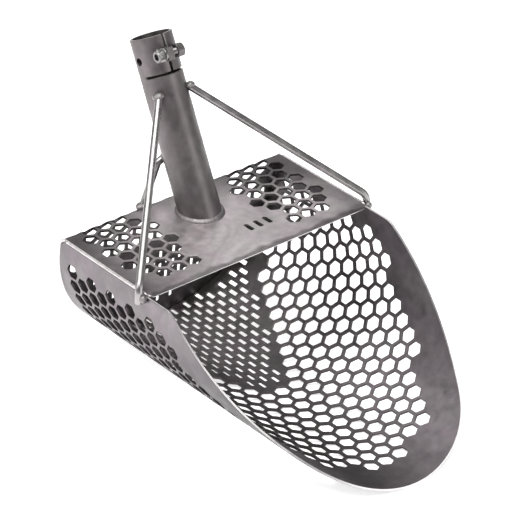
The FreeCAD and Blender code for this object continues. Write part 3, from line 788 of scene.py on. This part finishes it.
# ---- materials --------------------------------------------------------------------------------
def steel(name, dark, light, rough, blotch=28.0, grain=0.06, edge_rub_and_highlight=None, streak=0.0, light_and_shade_pools=(),
          height_shade=None, swirl=0.0):
    """Worn stainless steel: soft blotches between dark and light, mottled and faintly tinted.

    blotch and swirl are the scale of the blotches and the depth of the grinding pad's sweeps; the painted
    pools of light and shade, the painted shade by height, the edges and the bump come from the helpers above.
    """
    material = bpy.data.materials.new(name)
    material.use_nodes = True
    tree = material.node_tree
    tree.nodes.clear()
    output = tree.nodes.new("ShaderNodeOutputMaterial")
    shader = tree.nodes.new("ShaderNodeBsdfPrincipled")
    shader.inputs["Metallic"].default_value = 1.0
    tree.links.new(shader.outputs["BSDF"], output.inputs["Surface"])
    where = tree.nodes.new("ShaderNodeTexCoord").outputs["Object"]

    middle = tuple((a + b) / 2 for a, b in zip(dark, light))
    base = ramp(tree, noise_over(tree, where, blotch, 5.0, 0.6), [(0.3, dark), (0.52, middle), (0.72, light)])
    base = pooled_light_and_shade(tree, where, base, light_and_shade_pools)
    mottle = ramp(tree, noise_over(tree, where, blotch * 6, 4.0), [(0.35, 0.90), (0.65, 1.06)])
    base = mix(tree, "MULTIPLY", 1.0, base, mottle)
    if swirl:
        swept = noise_over(tree, where, SWIRL_SCALE, 4.0, SWIRL_BEND)
        swept = ramp(tree, swept, [(0.34, 1 - swirl), (0.66, 1 + swirl * 0.5)])
        base = mix(tree, "MULTIPLY", 1.0, base, swept)
    tint = noise_over(tree, where, blotch * 1.3, 3.0)
    tint = ramp(tree, tint, [(0.42, YELLOW_TINT), (0.6, VIOLET_TINT)])
    base = mix(tree, "MULTIPLY", 0.8, base, tint)
    if height_shade:
        base = shade_by_height(tree, where, base, *height_shade)
    tree.links.new(edged(tree, base, edge_rub_and_highlight or light), shader.inputs["Base Color"])

    gloss = noise_over(tree, where, blotch * 3, 4.0)
    gloss = ramp(tree, gloss, [(0.35, rough - SMOOTHER), (0.65, rough + ROUGHER)])
    tree.links.new(gloss, shader.inputs["Roughness"])
    tree.links.new(surface_normal(tree, where, grain, streak), shader.inputs["Normal"])
    return material


# edge_rub_and_highlight is the colour of the rubbed outer edge together with its painted highlight
# the patches are painted pools: a painted highlight on the plate in front of the socket, and in the basket
# one pool of painted light and one of painted shade
# the tones are painted shade by height: the basket darker lower down, most of all about 70 mm below the top;
# the plate darker on its rolled front strip and its underside
BASKET_STEEL = steel("blasted_basket", (0.175, 0.160, 0.167), (0.240, 0.221, 0.230), 0.42, grain=0.14,
                     edge_rub_and_highlight=(0.66, 0.64, 0.64), streak=1.2,
                     light_and_shade_pools=[((0.02, 0.02, -0.10), 0.12, 0.55), ((-0.065, -0.175, -0.085), 0.12, 0.10)],
                     height_shade=(-0.116, 0.0, [(0.0, 0.88), (0.2, 0.84), (0.40, 0.68), (0.65, 0.92), (1.0, 1.06)]),
                     swirl=0.12)
PLATE_STEEL = steel("brushed_plate", (0.085, 0.078, 0.080), (0.140, 0.130, 0.133), 0.44, grain=0.16,
                    edge_rub_and_highlight=(1.0, 0.98, 0.98), streak=2.4,
                    light_and_shade_pools=[((-0.012, -0.050, 0.0), 0.115, 0.60), ((0.050, -0.058, 0.0), 0.080, 0.42)],
                    height_shade=(-0.004, 0.0, [(0.0, 1.0), (0.3, 0.5), (0.85, 0.5), (0.97, 1.0)]), swirl=0.22)
TUBE_STEEL = steel("blasted_tube", (0.150, 0.139, 0.139), (0.20, 0.186, 0.186), 0.45, grain=0.12,
                   edge_rub_and_highlight=(0.5, 0.48, 0.48), swirl=0.14)
ROD_STEEL = steel("drawn_rod", (0.30, 0.294, 0.290), (0.40, 0.392, 0.386), 0.32, grain=0.05)
WELD_STEEL = steel("weld_metal", (0.22, 0.211, 0.207), (0.31, 0.298, 0.293), 0.50, blotch=90.0)
# the seam beads: bright weld metal with a painted highlight along them
SEAM_STEEL_AND_HIGHLIGHT = steel("seam_weld_and_highlight", (0.58, 0.565, 0.555), (0.78, 0.76, 0.75), 0.40, blotch=120.0)
BLOCK_STEEL = steel("clamp_steel", (0.14, 0.134, 0.133), (0.20, 0.192, 0.19), 0.40, blotch=60.0)
SCREW_STEEL = steel("bright_screw", (0.22, 0.215, 0.21), (0.34, 0.333, 0.328), 0.32, blotch=80.0, grain=0.02)


# ---- the sheets and the socket ----------------------------------------------------------------
cut_sheet("basket", shell_outline(), shell_holes(), trough, (6.0, 12.0), BASKET_STEEL,
          ["basket_shell"])
cut_sheet("plate", plate_outline(), plate_holes(), plate, (8.0, 5.0), PLATE_STEEL,
          ["top_and_back_plate"])
cut_sheet("socket", socket_outline(), socket_holes(), socket, (3.0, 8.0), TUBE_STEEL,
          ["handle_socket"], period=2 * pi * TUBE_MIDDLE)

# ---- weld beads -------------------------------------------------------------------------------
def socket_at(angle, radius, height):
    """Point beside the socket: angle round it from the front, radius from its axis, height along it."""
    return AXIS * height + radius * (FRONT * cos(angle) + ACROSS * sin(angle))


def ripple(length, pitch):
    """Height of the overlapping scales of a weld bead, 0 to 1, with a steep leading side."""
    phase = (length / pitch) % 1.0
    return phase ** 0.6 if phase < 0.8 else (1 - phase) / 0.2


def wobble(point, scale):
    return noise.noise(Vector(point) * scale)


def bead(name, path, normals, wide, high, pitch, material, nodes):
    """A weld bead along an open path: an oval section with overlapping scales."""
    path = np.array(path, float)
    ahead = np.gradient(path, axis=0)
    lengths = np.concatenate([[0.0], np.cumsum(np.linalg.norm(np.diff(path, axis=0), axis=1))])
    rings = []
    for k in range(len(path)):
        along = unit(ahead[k])
        out = np.array(normals[k], float)
        out = unit(out - along * (out @ along))
        side = np.cross(along, out)
        end = min(1.0, 0.25 + min(lengths[k], lengths[-1] - lengths[k]) / wide)
        ring = []
        for step in range(BEAD_STEPS):
            angle = 2 * pi * step / BEAD_STEPS
            lag = 0.35 * pitch * (1 - cos(angle) ** 2)
            swell = 1 + 0.12 * ripple(lengths[k] + lag, pitch) + 0.10 * wobble(path[k], 0.35)
            ring.append(path[k] + end * swell * (wide / 2 * sin(angle) * side + high * cos(angle) * out))
        rings.append(np.array(ring))
    points, faces = turned_mesh(rings)
    points[:, 2] = np.maximum(points[:, 2], LOWEST)
    return add_piece(name, points, [f[::-1] for f in faces], material, nodes)


def seam_beads():
    """The bead along each side of the plate's top, and the one round its back."""
    offset = SHEET / 2 - SEAM / 2
    x = section_side(offset, -SHEET / 2)
    front = PLATE_FRONT + CORNER_RADIUS
    for side, word in ((1, "right"), (-1, "left")):
        path = [(side * x, y, -SEAM_DOWN) for y in np.arange(front, BEND_START, SIDE_BEAD_STEP)]
        bead(word + "_seam", path, [(side * 0.7, 0, 0.7)] * len(path), *SIDE_BEAD, SEAM_PITCH, SEAM_STEEL_AND_HIGHLIGHT,
             [word + "_seam_weld"])
    path, normals = [], []
    side_top = BELLY_LENGTH + SIDE_RADIUS * (acos((SIDE_Z + SEAM_DOWN) / SIDE_RADIUS) - BELLY_TURN)
    for u in np.linspace(side_top, -side_top, REAR_BEAD_COUNT):
        point, out, _, _ = trough([u], [0.0], offset)
        down = back_down(min(point[0][2], -SEAM_DOWN))
        back, normal, _, _ = plate([0.0], [down], 0.0)
        path.append((point[0][0], back[0][1], point[0][2]))
        normals.append(out[0] + normal[0])
    bead("rear_seam", path, normals, *REAR_BEAD, SEAM_PITCH, SEAM_STEEL_AND_HIGHLIGHT, ["rear_seam_weld"])


def base_bead():
    """The fillet round the socket's foot."""
    rings = []
    for i in range(BASE_COUNT):
        angle = 2 * pi * i / BASE_COUNT
        section = []
        for k in range(BASE_STEPS + 1):
            t = k / BASE_STEPS
            lag = 0.5 * sin(pi * t)
            swell = 0.12 * ripple(angle * TUBE_RADIUS + lag, BASE_PITCH) * sin(pi * t) ** 0.5
            swell += 0.25 * wobble((cos(angle) * 3, sin(angle) * 3, 1.0), 1.7)
            spread = (BASE_WIDE + swell) * cos(pi / 2 * t) ** 1.15 - BASE_SUNK * t
            z = -BASE_SUNK + (BASE_HIGH + swell) * sin(pi / 2 * t) ** 1.15
            section.append((TUBE_RADIUS + max(spread, -BASE_SUNK), z))
        section.append((TUBE_RADIUS - BASE_INSIDE, BASE_HIGH - 0.2))
        section.append((TUBE_RADIUS - BASE_INSIDE, -BASE_SUNK))
        ring = []
        for radius, z in section:
            height = (z - radius * sin(TUBE_LEAN) * cos(angle)) / cos(TUBE_LEAN)
            ring.append(socket_at(angle, radius, height))
        rings.append(np.array(ring))
    points, faces = looped_mesh(rings)
    add_piece("base_bead", points, [f[::-1] for f in faces], WELD_STEEL, ["socket_base_weld"])


def weld_lump(name, centre, axes, sizes, node, seed):
    """A lump of weld metal round a rod's end: axes are across, along and out of the surface."""
    bm = bmesh.new()
    bmesh.ops.create_icosphere(bm, subdivisions=5, radius=1.0)
    points = []
    for vert in bm.verts:
        direction = np.array(vert.co)
        scale = ripple(3.0 + 2.2 * direction[2] + 0.6 * direction[0] ** 2, 0.62)
        bulge = 1 + LUMP_SCALES * scale + LUMP_SWELL * noise.noise(vert.co * 1.4 + Vector((seed, 0, 0)))
        bulge += LUMP_UNEVEN * noise.noise(vert.co * 4 + Vector((0, seed, 0)))
        local = direction * bulge
        points.append(np.array(centre) + sum(axes[k] * local[k] * sizes[k] for k in range(3)))
    faces = [[v.index for v in face.verts] for face in bm.faces]
    bm.free()
    handed = np.dot(np.cross(axes[0], axes[1]), axes[2])
    if handed < 0:
        faces = [f[::-1] for f in faces]
    add_piece(name, points, faces, WELD_STEEL, [node])


def node_middle(name):
    """The middle of a CAD node's bounds, in millimetres."""
    low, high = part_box(name)
    return np.array((low + high) / 2) / MM


def rod_welds():
    """A lump on the top and the foot of each of the four rods."""
    for side, word in ((1, "right"), (-1, "left")):
        mirror = np.array([side, 1, 1])
        front, rear = "front_" + word, "rear_" + word
        azimuth = side * FRONT_ROD_AZIMUTH
        out = FRONT * cos(azimuth) + ACROSS * sin(azimuth)
        top = node_middle(front + "_rod_top_weld") - out * 0.3 + AXIS * 0.5
        weld_lump(front + "_top_lump", top, (np.cross(AXIS, out), AXIS, out), FRONT_TOP_SIZES,
                  front + "_rod_top_weld", 1.3 + side)
        weld_lump(front + "_foot_lump", FRONT_FOOT * mirror, (ALONG_Y, UP, ACROSS * side), FRONT_FOOT_SIZES,
                  front + "_rod_foot_weld", 4.1 + side)
        weld_lump(rear + "_top_lump", REAR_TOP * mirror, (ACROSS * side, AXIS, -FRONT), REAR_TOP_SIZES,
                  rear + "_rod_top_weld", 7.7 + side)
        weld_lump(rear + "_foot_lump", REAR_FOOT * mirror, (ACROSS * side, ALONG_Y, UP), REAR_FOOT_SIZES,
                  rear + "_rod_foot_weld", 9.9 + side)


# ---- the clamp's turned pieces ----------------------------------------------------------------
def six_sided(flats, first_flat):
    """Radius of a hexagon at an angle; one of its flats faces first_flat."""
    def radius(angle):
        return flats / 2 / cos((angle - first_flat + pi / 6) % (pi / 3) - pi / 6)
    return radius


def turned_piece(name, profile, material, nodes, body="scoop", ring=False):
    """A piece turned about the clamp screw's axis, from pairs of x and radius.

    A radius may also be a function of the angle. ring joins the last pair to the first.
    """
    rings = []
    for x, radius in profile:
        centre = AXIS * SCREW_HEIGHT + FRONT * SCREW_OFFSET + ACROSS * x
        points = []
        for step in range(TURN_STEPS):
            angle = 2 * pi * step / TURN_STEPS
            reach = radius(angle) if callable(radius) else radius
            points.append(centre + reach * (AXIS * cos(angle) + FRONT * sin(angle)))
        rings.append(np.array(points))
    points, faces = looped_mesh(rings) if ring else turned_mesh(rings)
    piece = add_piece(name, points, faces, material, nodes, body)
    piece.data.set_sharp_from_angle(angle=SHARP_FROM)
    return piece


def clamp_screw():
    """The socket-head screw: from the key's bottom over the knurled head to the thread's end."""
    seat = LUG_LEFT - WASHER_THICK - 2 * RUN_GAP
    face = seat - HEAD_LENGTH

    def knurled(angle):
        return HEAD_RADIUS - KNURL_DEEP * (0.5 - 0.5 * cos(KNURL_TEETH * angle))

    def threaded(x):
        def radius(angle):
            phase = ((x - seat) / THREAD_PITCH - angle / (2 * pi)) % 1.0
            return SCREW_RADIUS - THREAD_DEEP * (1 - abs(2 * phase - 1))
        return radius

    profile = [(face + KEY_DEPTH, six_sided(KEY_FLATS, pi / 2)), (face + 0.2, six_sided(KEY_FLATS, pi / 2)),
               (face, six_sided(KEY_FLATS + 0.4, pi / 2)), (face, HEAD_RADIUS - 0.75),
               (face + 0.25, HEAD_RADIUS - 0.4), (face + 0.55, HEAD_RADIUS - 0.3), (face + 0.8, knurled),
               (seat - 0.5, knurled), (seat - 0.25, HEAD_RADIUS - 0.35), (seat, HEAD_RADIUS - 0.5),
               (seat, SCREW_RADIUS), (seat + THREAD_FROM, SCREW_RADIUS)]
    sections = int((SCREW_LENGTH - THREAD_FROM - 0.8) / THREAD_PITCH * THREAD_STEPS)
    for step in range(1, sections):
        x = seat + THREAD_FROM + step * THREAD_PITCH / THREAD_STEPS
        profile.append((x, threaded(x)))
    profile += [(seat + SCREW_LENGTH - 0.5, SCREW_RADIUS - THREAD_DEEP),
                (seat + SCREW_LENGTH, SCREW_RADIUS - 2 * THREAD_DEEP)]
    turned_piece("screw", profile, SCREW_STEEL, ["clamp_screw"], body="screw")


def clamp_washer():
    """The flat washer between the screw's head and the lug."""
    left = LUG_LEFT - RUN_GAP - WASHER_THICK
    right = LUG_LEFT - RUN_GAP
    profile = [(left + 0.15, WASHER_BORE), (left, WASHER_BORE + 0.15), (left, WASHER_RADIUS - 0.35),
               (left + 0.12, WASHER_RADIUS - 0.1), (left + 0.4, WASHER_RADIUS), (right - 0.3, WASHER_RADIUS),
               (right - 0.08, WASHER_RADIUS - 0.1), (right, WASHER_RADIUS - 0.3), (right, WASHER_BORE + 0.1),
               (right - 0.1, WASHER_BORE)]
    turned_piece("washer", profile, SCREW_STEEL, ["clamp_washer"], body="washer", ring=True)


def clamp_nut():
    """The hexagonal nut, with the corners of both faces chamfered to a cone."""
    full = six_sided(NUT_FLATS, 0.0)

    def under(limit):
        return lambda angle: min(full(angle), limit)

    left, right = NUT_LEFT, NUT_LEFT + NUT_LENGTH
    flat_half = NUT_FLATS / 2
    chamfer = [(0.0, flat_half - 0.3), (0.12, flat_half), (0.25, flat_half + 0.25), (0.38, flat_half + 0.5),
               (0.5, flat_half + 0.8)]
    profile = [(left + 0.4, NUT_BORE), (left, NUT_BORE + 0.4)]
    profile += [(left + x, under(limit)) for x, limit in chamfer]
    profile += [(right - x, under(limit)) for x, limit in reversed(chamfer)]
    profile += [(right, NUT_BORE + 0.4), (right - 0.4, NUT_BORE)]
    turned_piece("nut", profile, BLOCK_STEEL, ["clamp_nut"], ring=True)


def softened(node_name, width):
    """Round the sharp edges of a CAD node."""
    node = frame["nodes"][node_name]
    planar = node.modifiers.new("planar", "DECIMATE")
    planar.decimate_type = "DISSOLVE"
    planar.angle_limit = radians(2)
    bevel = node.modifiers.new("edges", "BEVEL")
    bevel.width = width * MM
    bevel.segments = 3
    bevel.limit_method = "ANGLE"
    bevel.angle_limit = radians(40)


seam_beads()
base_bead()
rod_welds()
clamp_screw()
clamp_washer()
clamp_nut()
softened("clamp_lug", LUG_BEVEL)
softened("clamp_nut_weld", NUT_WELD_BEVEL)

# ---- materials on the CAD nodes that stay -----------------------------------------------------
STEEL_OF_SLOT = {"sheet": BASKET_STEEL, "tube": TUBE_STEEL, "rod": ROD_STEEL, "weld": WELD_STEEL,
                 "clamp_block": BLOCK_STEEL, "fastener": SCREW_STEEL}
for part in frame["record"]["subparts"]:
    node = frame["nodes"][part["node"]]
    node.data.materials.clear()
    node.data.materials.append(STEEL_OF_SLOT[part["material_slot"]])


# ---- floor, light and camera ------------------------------------------------------------------
FLOOR_REACH = 6.0          # metres
PAPER_WHITE = 0.85
PAPER_GLOW = 0.65
SKY_STRENGTH = 0.30
LIGHTS = (("overhead", (-0.6, -0.1, 2.5), 2.6, 92.0, (1.0, 1.0, 1.0)),      # name, metres, watts, colour
          ("front", (0.9, -2.4, 0.6), 1.2, 12.0, (1.0, 0.99, 0.98)),
          ("left", (-2.4, 0.9, 1.4), 1.4, 22.0, (1.0, 1.0, 1.0)),
          ("behind", (1.6, 2.0, 1.5), 1.8, 10.0, (1.0, 1.0, 1.0)))
EYE = Vector((-1274.50, -1653.44, 1205.68)) * MM
LOOKED_AT = Vector((22.28, -40.90, -30.00)) * MM
CAMERA_ROLL = radians(-0.307)
CAMERA_FIELD = radians(9.375)
SENSOR_WIDE = 36.0


def paper_floor():
    """A white sheet under the scoop that glows enough to stay white."""
    mesh = bpy.data.meshes.new("floor")
    corners = [(-1, -1), (1, -1), (1, 1), (-1, 1)]
    mesh.from_pydata([(x * FLOOR_REACH, y * FLOOR_REACH, cad_low.z) for x, y in corners], [], [(0, 1, 2, 3)])
    floor = bpy.data.objects.new("floor", mesh)
    bpy.context.scene.collection.objects.link(floor)
    paper = bpy.data.materials.new("paper")
    paper.use_nodes = True
    shader = paper.node_tree.nodes["Principled BSDF"]
    shader.inputs["Base Color"].default_value = (PAPER_WHITE, PAPER_WHITE, PAPER_WHITE, 1)
    shader.inputs["Emission Color"].default_value = (1, 1, 1, 1)
    shader.inputs["Emission Strength"].default_value = PAPER_GLOW
    shader.inputs["Roughness"].default_value = 0.9
    mesh.materials.append(paper)


def sky():
    world = bpy.data.worlds.new("studio")
    bpy.context.scene.world = world
    world.use_nodes = True
    background = world.node_tree.nodes["Background"]
    background.inputs["Color"].default_value = (1, 1, 1, 1)
    background.inputs["Strength"].default_value = SKY_STRENGTH


def lights():
    for name, place, size, power, colour in LIGHTS:
        light = bpy.data.lights.new(name, "AREA")
        light.energy = power
        light.size = size
        light.color = colour
        lamp = bpy.data.objects.new(name, light)
        bpy.context.scene.collection.objects.link(lamp)
        lamp.location = place
        lamp.rotation_mode = "QUATERNION"
        lamp.rotation_quaternion = (-Vector(place)).to_track_quat("-Z", "Y")


def camera():
    data = bpy.data.cameras.new("camera")
    data.sensor_width = SENSOR_WIDE
    data.lens = SENSOR_WIDE / 2 / tan(CAMERA_FIELD / 2)
    data.clip_start = 0.1
    data.clip_end = 50.0
    eye = bpy.data.objects.new("camera", data)
    bpy.context.scene.collection.objects.link(eye)
    aim = (LOOKED_AT - EYE).to_track_quat("-Z", "Y").to_matrix().to_4x4()
    eye.matrix_world = Matrix.Translation(EYE) @ aim @ Matrix.Rotation(CAMERA_ROLL, 4, "Z")
    bpy.context.scene.camera = eye


paper_floor()
sky()
lights()
camera()
bpy.context.scene.view_settings.view_transform = "Standard"
